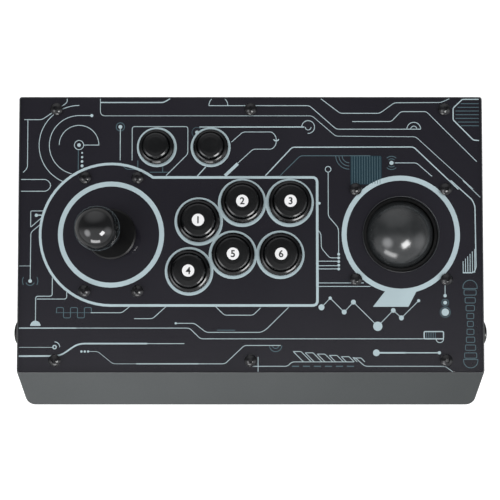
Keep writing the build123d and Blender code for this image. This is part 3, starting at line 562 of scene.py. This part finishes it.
def printed_sheet():
    """The artwork's dark ground: a thin sheet with every control's hole in it."""
    curve = bpy.data.curves.new("printed_artwork_sheet", "CURVE")
    curve.dimensions = "2D"
    curve.fill_mode = "BOTH"
    top = PANEL_LOW.z + PRINT_RISE
    curve.extrude = (top - SHEET_LOW) / 2
    for outline in sheet_outlines():
        spline = curve.splines.new("POLY")
        spline.points.add(len(outline) - 1)
        for point, (x, y) in zip(spline.points, outline):
            point.co = (PANEL.x + x * MM, PANEL.y + y * MM, 0.0, 1.0)
        spline.use_cyclic_u = True
    holder = bpy.data.objects.new("holder", curve)
    bpy.context.scene.collection.objects.link(holder)
    bpy.context.view_layer.update()
    flat = bpy.data.meshes.new_from_object(holder.evaluated_get(bpy.context.evaluated_depsgraph_get()))
    bpy.data.objects.remove(holder)
    shape = bmesh.new()
    shape.from_mesh(flat)
    bmesh.ops.translate(shape, verts=shape.verts, vec=(0, 0, (top + SHEET_LOW) / 2))
    bmesh.ops.remove_doubles(shape, verts=shape.verts, dist=0.001 * MM)
    sheet = add_piece("printed_artwork_sheet", shape, printed_night(), "case")
    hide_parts("artwork_sheet")


printed_sheet()

# ---------------------------------------------------------------- artwork: bold shapes
INK_LOW = PANEL_LOW.z + PRINT_RISE
INK_HIGH = INK_LOW + INK_RISE
HAIR, THIN, LINE, MEDIUM, THICK, OUTLINE, BROAD = 0.35, 0.45, 0.55, 0.85, 1.2, 2.0, 2.4  # line widths

bold = Ink(INK_LOW, INK_HIGH)
fine = Ink(INK_LOW, INK_HIGH)
deep = Ink(INK_LOW, INK_LOW + INK_RISE / 2)


STICK_RING = (STICK[0] - 0.6, STICK[1])  # the print is a hair off the controls
TRACKBALL_RING = (TRACKBALL[0] + 0.4, TRACKBALL[1])
PRINT_DRIFT = 0.2
STICK_RING_R, TRACKBALL_RING_R, MAIN_RING_R, SMALL_RING_R = 39.45, 44.1, 17.5, 14.4
WIDE_RING, RING = 3.8, 2.7  # widths of the rings


def control_rings():
    """Pale rings round the joystick, the trackball and the ten buttons on the panel."""
    bold.circle(STICK_RING, STICK_RING_R, WIDE_RING)
    bold.circle(TRACKBALL_RING, TRACKBALL_RING_R, WIDE_RING + 0.1)
    for x, y in MAIN:
        bold.circle((x - PRINT_DRIFT, y - 0.3), MAIN_RING_R, RING)
    for x, y in SMALL:
        bold.circle((x - PRINT_DRIFT, y + 0.3), SMALL_RING_R, RING - 0.3)


def keyhole_outline():
    """Line round the joystick and the six main buttons."""
    radius, top, bottom, right = 55.2, 44.6, -55.2, 51.9
    start = math.degrees(math.asin(top / radius))
    around = arc(STICK_RING, radius, start, 270)
    corners = rounded([around[-1], (right, bottom), (right, top), around[0]], 4.0)
    bold.strip(around[:-1] + corners[:-1], OUTLINE, closed=True)


def trackball_tail():
    """Slanted block under the trackball's ring."""
    bold.prism([(94.9, -56.2), (122.5, -56.2), (129.6, -42.6), (105.6, -42.6)])


control_rings()
keyhole_outline()
trackball_tail()


# ---------------------------------------------------------------- artwork: circuit traces
def orbit_left():
    """Concentric bows beside the two small buttons."""
    centre = (-134.0, 70.0)
    bold.dot(centre, 1.4)
    bold.circle(centre, 3.6, LINE)
    bold.strip(arc(centre, 15.5, 180, 0) + [(-130.4, 70.0)], LINE)
    bold.strip([(-124.2, 93.2), (-134.5, 93.2)] + arc(centre, 23.2, 92, 256), LINE)
    bold.dot((-124.2, 93.2), 1.2)
    bold.strip(arc(centre, 31.2, 90, 247), LINE)
    for i in range(4):
        bold.dot((-131.5, 63.9 - 3.4 * i), 0.7 + 0.15 * i)
    fine.line((-134.5, 66.0), (-134.5, 50.5), width=LINE)


def top_left():
    """Long traces that enter at the back left corner, and the box round the small buttons."""
    bold.line((-143.5, 106.5), (-143.5, 103.5), (-163.0, 90.0), (-177.0, 90.0), width=LINE)
    bold.line((-174.1, 90.0), (-174.1, 52.0), (-177.5, 48.5), width=LINE)
    bold.line((-117.5, 106.5), (-117.5, 95.0), (-115.5, 93.0), (48.0, 93.0), (66.5, 77.0), (129.0, 76.5),
              (173.5, 35.5), width=THIN)
    bold.line((-117.5, 103.5), (-68.0, 103.5), (-63.0, 106.5), width=MEDIUM)
    fine.circle((-101.8, 84.3), 3.2, LINE)
    bold.dot((-101.8, 84.3), 1.5)
    bold.line((-101.8, 84.3), (-101.8, 58.0), width=LINE)
    bold.line((-92.5, 58.0), (-92.5, 84.5), (-49.0, 84.5), (-49.0, 63.0), (-66.0, 46.0), width=LINE)
    fine.line((-88.0, 58.0), (-88.0, 51.0), (-97.0, 51.0), (-102.0, 56.0), width=LINE)
    fine.line((-78.6, 48.7), (-63.7, 48.7), width=LINE)
    fine.line((-68.6, 53.4), (-68.6, 48.7), width=LINE)


def top_middle():
    """Traces between the small buttons and the barcode."""
    bold.bow((-25.2, 101.0), 7.4, 0, 45, LINE)
    bold.bow((-25.2, 101.0), 7.4, 135, 180, LINE)
    bold.line((-32.8, 101.0), (46.0, 101.0), (67.0, 82.5), (133.0, 82.5), width=LINE)
    bold.bow((127.6, 82.5), 5.4, 0, 180, LINE)
    bold.bow((127.6, 82.5), 2.4, 0, 180, LINE)
    bold.dot((-41.9, 80.0), 1.4)
    fine.circle((-41.9, 80.0), 3.9, HAIR)
    bold.line((-40.0, 84.2), (42.0, 84.2), width=MEDIUM)
    bold.bow((45.0, 84.2), 5.0, -95, 180, LINE)
    bold.bow((45.0, 84.2), 2.3, 180, 360, LINE)
    bold.bow((20.0, 75.5), 2.2, 205, 335, MEDIUM)
    bold.line((-15.0, 72.3), (-6.0, 80.3), (17.0, 80.3), (20.0, 76.5), (20.0, 70.5), (17.0, 66.8),
              (2.0, 66.8), (-10.0, 55.8), width=LINE)
    bold.line((-10.0, 55.4), (-20.0, 45.9), width=BROAD)
    bold.line((-35.0, 52.8), (-41.6, 45.6), width=MEDIUM)
    bold.line((11.6, 46.0), (32.5, 68.3), (127.3, 68.5), (162.0, 35.3), width=MEDIUM)
    fine.line((23.0, 46.0), (38.8, 61.6), (93.5, 61.6), width=LINE)


BARS, BAR_PITCH, BAR_WIDTH = 12, 1.98, 0.4


def barcode_fan():
    """Block of upright bars beside a quarter fan, and the trace that hangs from a small circle."""
    deep.prism([(78.0, 39.0), (102.3, 39.0), (102.3, 60.6), (101.3, 61.6), (78.0, 61.6)])
    for i in range(BARS):
        x = 79.2 + BAR_PITCH * i
        fine.line((x, 61.2), (x, 39.6), width=BAR_WIDTH)
    for radius in (5.5, 8.0, 10.5):
        fine.bow((77.0, 61.6), radius, 180, 270, LINE)
    bold.circle((60.5, 51.0), 2.2, LINE)
    bold.line((60.5, 48.8), (60.5, 14.3), (67.7, 6.0), (68.5, 3.0), (68.5, -14.5), width=LINE)


def top_right():
    """Traces, striped corner plate and beacon at the back right."""
    bold.line((55.0, 106.5), (70.0, 95.0), (101.0, 95.0), (112.5, 103.3), (149.0, 103.5), (155.5, 106.5),
              width=LINE)
    bold.line((79.5, 88.5), (110.0, 88.5), (117.5, 96.3), (137.5, 96.3), (176.5, 57.0), width=LINE)
    bold.line((178.5, 106.0), (165.7, 106.0), (158.4, 99.0), (158.4, 89.8), (174.0, 74.0), (178.5, 73.5),
              width=MEDIUM, corner=1.0)
    for i in range(7):
        y = 102.6 - 2.9 * i
        left = 160.3 + max(0.0, abs(y - 94.0) - 4.0) * 0.9
        fine.line((left, y), (178.5, y), width=LINE)
    bold.dot((110.0, 56.0), 1.6)
    fine.bow((110.0, 56.0), 3.2, 45, 135, LINE)
    fine.bow((110.0, 56.0), 5.2, 45, 135, LINE)
    fine.bow((110.0, 56.0), 3.2, 225, 315, LINE)
    fine.bow((110.0, 56.0), 5.2, 225, 315, LINE)
    bold.line((112.5, 56.0), (129.5, 56.0), (141.5, 45.5), width=LINE)


def right_side():
    """Organ-pipe bars and hanging discs beside the trackball."""
    bold.line((156.0, 42.3), (172.8, 27.0), (174.8, 22.0), (175.2, -26.0), (173.4, -29.8), (165.0, -29.8),
              width=MEDIUM)
    bold.line((165.5, 42.3), (179.0, 29.0), width=LINE)
    for i in range(6):
        x = 165.2 + 1.8 * i
        bold.line((x, -29.8), (x, -20.8 + 1.9 * i), width=LINE)
    bold.line((151.0, -34.0), (151.0, -47.0), width=LINE)
    bold.dot((151.0, -47.6), 1.3)
    bold.dot((151.0, -53.0), 1.5)
    fine.circle((151.0, -53.0), 2.6, LINE)
    bold.dot((151.0, -60.4), 2.9)
    fine.circle((151.0, -60.4), 3.9, LINE)


def capsule_stack():
    """Column of rounded links down the right edge, narrowest in its middle."""
    count, pitch, height, x = 11, 6.1, 4.1, 170.4
    top = -39.0
    for i in range(count):
        share = abs(i - 5.0) / 5.0
        half = 2.3 + 3.2 * share**1.3
        y = top - pitch * i
        low, high = y - height / 2, y + height / 2
        if i == 0:
            fine.strip(arc((x, low), half, 0, 180) + [(x - half, low - 1.0), (x + half, low - 1.0)],
                       LINE, True)
        elif i == count - 1:
            fine.strip(arc((x, high), half, 180, 360) + [(x + half, high + 1.0), (x - half, high + 1.0)],
                       LINE, True)
        else:
            fine.loop((x - half, low), (x + half, low), (x + half, high), (x - half, high), width=LINE)


def beside_outline():
    """Small traces between the keyhole line and the trackball."""
    bold.dot((53.5, 24.4), 1.1)
    bold.line((52.5, 3.3), (54.8, 0.7), (55.0, -10.4), (61.4, -18.2), (68.5, -18.2), width=LINE)
    for i in range(5):
        bold.dot((68.5, -15.4 - 2.85 * i), 1.1)
    for y in (-20.8, -24.3, -26.8):
        bold.line((52.5, y), (68.5, y), width=LINE)
    bold.line((52.5, -37.7), (88.0, -37.7), width=LINE)
    bold.line((52.5, -40.4), (93.0, -40.4), width=LINE)


def node_chain():
    """Zigzag of discs under the trackball."""
    links = [(55.0, -56.6, 2.3), (61.8, -49.5, 1.3), (72.6, -60.3, 1.9), (79.8, -52.6, 1.9),
             (98.6, -71.3, 3.6), (110.7, -59.0, 1.8), (117.0, -64.8, 1.9), (130.4, -51.5, 1.2)]
    for x, y, radius in links:
        bold.dot((x, y), radius)
    for (x0, y0, _), (x1, y1, _) in zip(links, links[1:]):
        bold.line((x0, y0), (x1, y1), width=LINE)


def bottom_right():
    """Dotted bars, slanted hooks and base line at the front right."""
    bold.line((97.4, -91.8), (146.2, -91.8), width=MEDIUM)
    bold.line((97.4, -91.8), (120.0, -91.8), width=THICK)
    bold.dot((97.4, -91.8), 2.6)
    bold.dot((146.2, -91.8), 1.3)
    bold.loop((134.5, -81.0), (149.5, -81.0), (149.5, -75.4), (134.5, -75.4), width=MEDIUM)
    for i in range(5):
        fine.line((136.4 + 1.7 * i, -80.6), (136.4 + 1.7 * i, -75.8), width=LINE)
    bold.bow((146.6, -81.0), 2.9, 180, 360, LINE)
    base = -98.8
    bold.line((1.0, -102.2), (28.6, -102.2), (32.0, base), (80.0, base), width=LINE)
    for i in range(6):
        left, rise = 41.0 + 8.3 * i, 8.0 - 1.0 * i
        bold.line((left, base), (left - rise, base + rise), (left - rise + 6.0, base + rise),
                  (left + 6.0, base), width=LINE, corner=0.4)
        fine.line((32.0 + 8.5 * i, -102.2), (37.5 + 8.5 * i, -102.2), width=MEDIUM, corner=0)
    bold.line((79.0, -95.6), (81.0, -95.6), (88.5, -102.2), (150.5, -102.2), (156.5, -106.5), width=LINE)
    bold.line((5.8, -95.0), (5.8, -106.5), width=LINE)


def bottom_left():
    """Traces between the keyhole line and the front edge."""
    bold.line((-179.5, -72.7), (-135.0, -72.7), width=MEDIUM)
    bold.line((-150.0, -72.7), (-47.4, -72.7), (-38.8, -81.0), (134.5, -81.0), width=LINE)
    bold.line((-58.0, -69.0), (-43.6, -69.0), (-34.4, -76.0), (8.0, -76.0), (12.0, -73.8), (29.5, -56.6),
              width=LINE)
    bold.dot((-58.0, -69.0), 0.9)
    fine.line((-26.0, -74.3), (-12.0, -74.3), width=LINE)
    bold.line((-27.1, -56.1), (-20.3, -62.7), (1.9, -62.7), (7.8, -57.0), width=LINE)
    bold.line((-90.3, -65.4), (-76.0, -65.4), (-65.0, -55.5), width=LINE)
    bold.line((-124.0, -60.8), (-99.8, -60.8), (-93.5, -55.8), width=LINE)
    bold.line((-179.5, -94.4), (-147.3, -94.2), (-133.7, -84.7), (-80.0, -84.7), width=THICK, corner=5.0)
    bold.line((-82.0, -84.7), (-51.3, -84.7), width=LINE)
    bold.line((-179.5, -87.6), (-153.5, -87.6), width=HAIR)
    bold.circle((-151.8, -87.4), 1.3, MEDIUM)
    bold.bow((-151.8, -87.4), 4.0, 0, 90, LINE)
    for i in range(3):
        bold.dot((-131.0 + 2.6 * i, -90.8), 0.9)
    bold.line((-125.0, -90.8), (-118.3, -90.8), (-106.6, -100.3), (-88.5, -100.3), width=HAIR)
    bold.line((-88.5, -100.3), (-40.3, -100.3), width=MEDIUM)
    bold.line((-40.3, -100.3), (-19.8, -100.3), (-4.8, -86.1), (23.3, -86.1), width=LINE)
    fine.bow((19.4, -86.1), 4.8, 180, 360, LINE)
    fine.bow((19.4, -86.1), 2.4, 180, 360, LINE)


def square_wave():
    """Row of soft pulses along a baseline."""
    pulse, level, height = 5.4, -60.8, 4.0
    points = [(-151.0, level)]
    for i in range(5):
        side = height if i % 2 == 0 else -height
        left = -150.5 + pulse * i
        points += [(left, level), (left, level + side), (left + pulse, level + side), (left + pulse, level)]
    fine.line(*points, width=LINE, corner=1.2)
    fine.line((-151.0, level), (-124.0, level), width=HAIR)


def left_side():
    """Traces along the left edge."""
    bold.line((-179.0, 43.0), (-159.0, 43.0), (-156.0, 40.0), (-156.0, 36.8), (-159.0, 33.8),
              (-179.0, 33.8), width=LINE)
    bold.line((-161.5, 18.4), (-171.2, 18.4), (-171.2, 5.6), (-162.8, 13.0), width=LINE, corner=1.0)
    bold.dot((-166.8, 15.0), 1.3)
    bold.line((-166.5, 15.1), (-162.7, 15.1), width=MEDIUM)
    bold.line((-163.5, 8.0), (-171.0, 1.6), (-171.2, -36.0), width=LINE)
    bold.dot((-171.2, -36.2), 1.4)
    fine.bow((-171.2, -36.2), 3.4, 200, 340, LINE)
    fine.bow((-171.2, -36.2), 6.0, -30, 30, LINE)
    fine.bow((-171.2, -36.2), 6.0, 150, 210, LINE)
    bold.line((-179.8, -24.5), (-171.2, -24.5), width=HAIR)
    bold.line((-154.0, -33.5), (-154.0, -48.0), (-166.8, -48.0), (-166.8, -68.0), width=LINE)
    bold.line((-142.7, -44.6), (-142.7, -50.2), (-166.0, -50.2), width=LINE)
    bold.dome((-166.8, -71.0), 4.0, 0)


for draw in (orbit_left, top_left, top_middle, barcode_fan, top_right, right_side, capsule_stack,
             beside_outline, node_chain, bottom_right, bottom_left, square_wave, left_side):
    draw()
bright_ink = printed_ink("pale_ink", (0.51, 0.62, 0.655))
dim_ink = printed_ink("teal_ink", (0.095, 0.155, 0.180))
add_piece("artwork_pale_shapes", bold.mesh, bright_ink, "case")
add_piece("artwork_teal_lines", fine.mesh, dim_ink, "case")
add_piece("artwork_deep_block", deep.mesh, printed_ink("deep_teal_ink", (0.014, 0.036, 0.050)), "case")

# ---------------------------------------------------------------- numbered discs on the main buttons
DISC_R = 4.7
DISC_T = 0.12
DISC_EDGE = 0.05
DIGIT_SIZE = 7.4
DIGIT_T = 0.04
DIGIT_SWELL = 0.16  # the numerals are drawn bolder by this much on every edge


def button_discs():
    """White disc with a plain numeral in the middle of each main button."""
    white = moulded_plastic("disc_white", (0.86, 0.86, 0.86), (0.91, 0.91, 0.91), (0.35, 0.45), 0.6, 0.01)
    black = moulded_plastic("digit_black", *DEEP_BLACK, (0.4, 0.5), 0.4, 0.01)
    for number, node in enumerate(MAIN_PLUNGERS, 1):
        centre = middle(node)
        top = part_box(node)[1].z
        add_piece(f"button_disc_{number}", disc_mesh(centre, top), white, node)
        add_piece(f"button_digit_{number}", digit_mesh(str(number), centre, top + DISC_T * MM), black, node)


def disc_mesh(centre, seat):
    """Thin round disc with a softened rim, let into the cap by its own thickness."""
    profile = [(DISC_R, -DISC_T), (DISC_R, DISC_T - DISC_EDGE), (DISC_R - DISC_EDGE, DISC_T), (0.0, DISC_T)]
    shape = bmesh.new()
    rings = []
    for radius, height in profile[:-1]:
        points = arc((0.0, 0.0), radius, 0, 352.5, 7.5)
        rings.append([shape.verts.new((centre.x + x * MM, centre.y + y * MM, seat + height * MM))
                      for x, y in points])
    shape.faces.new(rings[0][::-1])
    shape.faces.new(rings[-1])
    for low, high in zip(rings, rings[1:]):
        for i in range(len(low)):
            j = (i + 1) % len(low)
            shape.faces.new((low[i], low[j], high[j], high[i]))
    return shape


def digit_mesh(text, centre, seat):
    """A numeral, centred, as a thin raised print."""
    curve = bpy.data.curves.new("digit", "FONT")
    curve.body = text
    curve.size = DIGIT_SIZE * MM
    curve.extrude = DIGIT_T * MM / 2
    curve.offset = DIGIT_SWELL * MM
    holder = bpy.data.objects.new("holder", curve)
    bpy.context.scene.collection.objects.link(holder)
    bpy.context.view_layer.update()
    flat = bpy.data.meshes.new_from_object(holder.evaluated_get(bpy.context.evaluated_depsgraph_get()))
    bpy.data.objects.remove(holder)
    shape = bmesh.new()
    shape.from_mesh(flat)
    bmesh.ops.remove_doubles(shape, verts=shape.verts, dist=0.0001 * MM)
    low = Vector(min(v.co[i] for v in shape.verts) for i in range(3))
    high = Vector(max(v.co[i] for v in shape.verts) for i in range(3))
    shift = Vector((centre.x, centre.y, seat + DIGIT_T * MM / 2)) - (low + high) / 2
    bmesh.ops.translate(shape, verts=shape.verts, vec=shift)
    return shape


button_discs()

# ---------------------------------------------------------------- springs, one piece for each button
PLUNGERS = MAIN_PLUNGERS + SMALL_PLUNGERS + ["left_side_plunger", "right_side_plunger"]
TRAVEL = 3.0  # a button's stroke
INWARDS = {"left_side_plunger": Vector((1, 0, 0)), "right_side_plunger": Vector((-1, 0, 0))}


def button_springs():
    """Each button's spring as its own piece, cut from the CAD node by the button nearest to it."""
    shape, islands = node_shape("button_springs")
    for node in PLUNGERS:
        island = min(islands, key=lambda verts: (sum(box_of(verts), Vector()) / 2 - middle(node)).length)
        low, high = box_of(island)
        way = INWARDS.get(node, Vector((0, 0, -1)))
        seat = (low + high) / 2 + way * abs((high - low).dot(way)) / 2
        keep = 1 - TRAVEL * MM / abs((high - low).dot(way))
        kept = {vert.index for vert in island}
        single = shape.copy()
        others = [vert for vert in single.verts if vert.index not in kept]
        bmesh.ops.delete(single, geom=others, context="VERTS")
        piece = add_piece(node.replace("plunger", "spring"), single, steel, "case")
        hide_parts("button_springs")
        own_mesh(piece)
    shape.free()


button_springs()


# ---------------------------------------------------------------- studio
FLOOR_HALF = 4.0  # metres
SKY_TINT = (0.97, 0.98, 1.0)


def studio_floor():
    """Large pale floor under the feet."""
    mesh = bpy.data.meshes.new("floor")
    half = FLOOR_HALF
    corners = [(-half, -half, 0), (half, -half, 0), (half, half, 0), (-half, half, 0)]
    mesh.from_pydata(corners, [], [(0, 1, 2, 3)])
    floor = bpy.data.objects.new("floor", mesh)
    bpy.context.scene.collection.objects.link(floor)
    paint(floor, studio_paper())


def soft_light(name, place, size, watts, seen_in="both"):
    """Rectangular soft box; it may light matt faces only, or show in glossy ones only."""
    data = bpy.data.lights.new(name, "AREA")
    data.shape = "RECTANGLE"
    data.size, data.size_y = size
    data.energy = watts
    light = bpy.data.objects.new(name, data)
    light.location = place
    light.rotation_euler = (PANEL - Vector(place)).to_track_quat("-Z", "Y").to_euler()
    light.visible_glossy = seen_in != "matt"
    light.visible_diffuse = seen_in != "gloss"
    bpy.context.scene.collection.objects.link(light)


def studio_world():
    """Surroundings that look white, but light the scene dimly and more from the player's side.

    Soft glows show in glossy faces only.
    """
    world = bpy.data.worlds.new("studio")
    world.use_nodes = True
    bpy.context.scene.world = world
    tree = world.node_tree
    background = tree.nodes["Background"]
    background.inputs["Color"].default_value = (*SKY_TINT, 1.0)
    way = tree.nodes.new("ShaderNodeTexCoord").outputs["Generated"]
    split = tree.nodes.new("ShaderNodeSeparateXYZ")
    tree.links.new(way, split.inputs["Vector"])
    total = ramp(tree, split.outputs["Y"], WORLD_BACK_Y, WORLD_FRONT_Y, WORLD_BACK, WORLD_FRONT)
    rays = tree.nodes.new("ShaderNodeLightPath").outputs
    mirrored = rays["Is Glossy Ray"]
    total = join(tree, "MAXIMUM", total, rays["Is Camera Ray"])
    for direction, core, reach, strength in GLOWS:
        cosine = tree.nodes.new("ShaderNodeVectorMath")
        cosine.operation = "DOT_PRODUCT"
        cosine.inputs[1].default_value = Vector(direction).normalized()
        tree.links.new(way, cosine.inputs[0])
        start, end = math.cos(math.radians(reach)), math.cos(math.radians(core))
        glow = ramp(tree, cosine.outputs["Value"], start, end, 0.0, strength)
        total = join(tree, "ADD", total, join(tree, "MULTIPLY", glow, mirrored))
    tree.links.new(total, background.inputs["Strength"])


def ramp(tree, value, start, end, low, high):
    """Smooth step of a value."""
    step = tree.nodes.new("ShaderNodeMapRange")
    step.interpolation_type = "SMOOTHSTEP"
    for name, number in (("From Min", start), ("From Max", end), ("To Min", low), ("To Max", high)):
        step.inputs[name].default_value = number
    tree.links.new(value, step.inputs["Value"])
    return step.outputs["Result"]


def join(tree, operation, first, second):
    """Sum, product or maximum of two values."""
    node = tree.nodes.new("ShaderNodeMath")
    node.operation = operation
    tree.links.new(first, node.inputs[0])
    tree.links.new(second, node.inputs[1])
    return node.outputs["Value"]


def camera():
    """Camera above the panel and a little towards the player, its frame shifted to centre the box."""
    data = bpy.data.cameras.new("camera")
    data.lens = LENS
    data.sensor_width = SENSOR
    data.shift_y = FRAME_SHIFT
    eye = bpy.data.objects.new("camera", data)
    eye.location = (EYE_X * MM, PANEL.y + EYE_Y * MM, PANEL_HIGH.z + EYE_HEIGHT * MM)
    eye.rotation_euler = (math.radians(EYE_TILT), 0.0, 0.0)
    bpy.context.scene.collection.objects.link(eye)
    bpy.context.scene.camera = eye


LENS, SENSOR = 44.78, 36.0
EYE_X, EYE_Y, EYE_HEIGHT = -0.45, -45.0, 480.0  # from the middle of the panel's top
EYE_TILT = 1.5  # degrees, the lens turned from straight down towards the back
FRAME_SHIFT = 0.0521  # share of the picture's width

WORLD_BACK_Y, WORLD_FRONT_Y = 0.14, -0.32
WORLD_BACK, WORLD_FRONT = 0.17, 0.85
GLOWS = [  # direction, bright core and reach in degrees, strength
    ((-0.62, -0.42, 0.66), 1.0, 20.0, 3.8),
    ((-0.10, 0.90, 0.42), 4.0, 52.0, 0.6),
    ((0.88, -0.25, 0.40), 2.0, 26.0, 0.8),
]

studio_floor()
studio_world()
soft_light("overhead", (0.0, 0.1, 1.6), (1.6, 0.9), 14.0, "matt")
soft_light("front_left", (-0.50, -0.49, 0.24), (0.30, 0.30), 0.9, "matt")
soft_light("key", (0.314, -0.343, 0.644), (0.30, 0.22), 3.2, "gloss")
soft_light("window", (-0.146, -0.603, 0.303), (0.44, 0.17), 1.6, "gloss")
camera()
bpy.context.scene.view_settings.view_transform = "Standard"
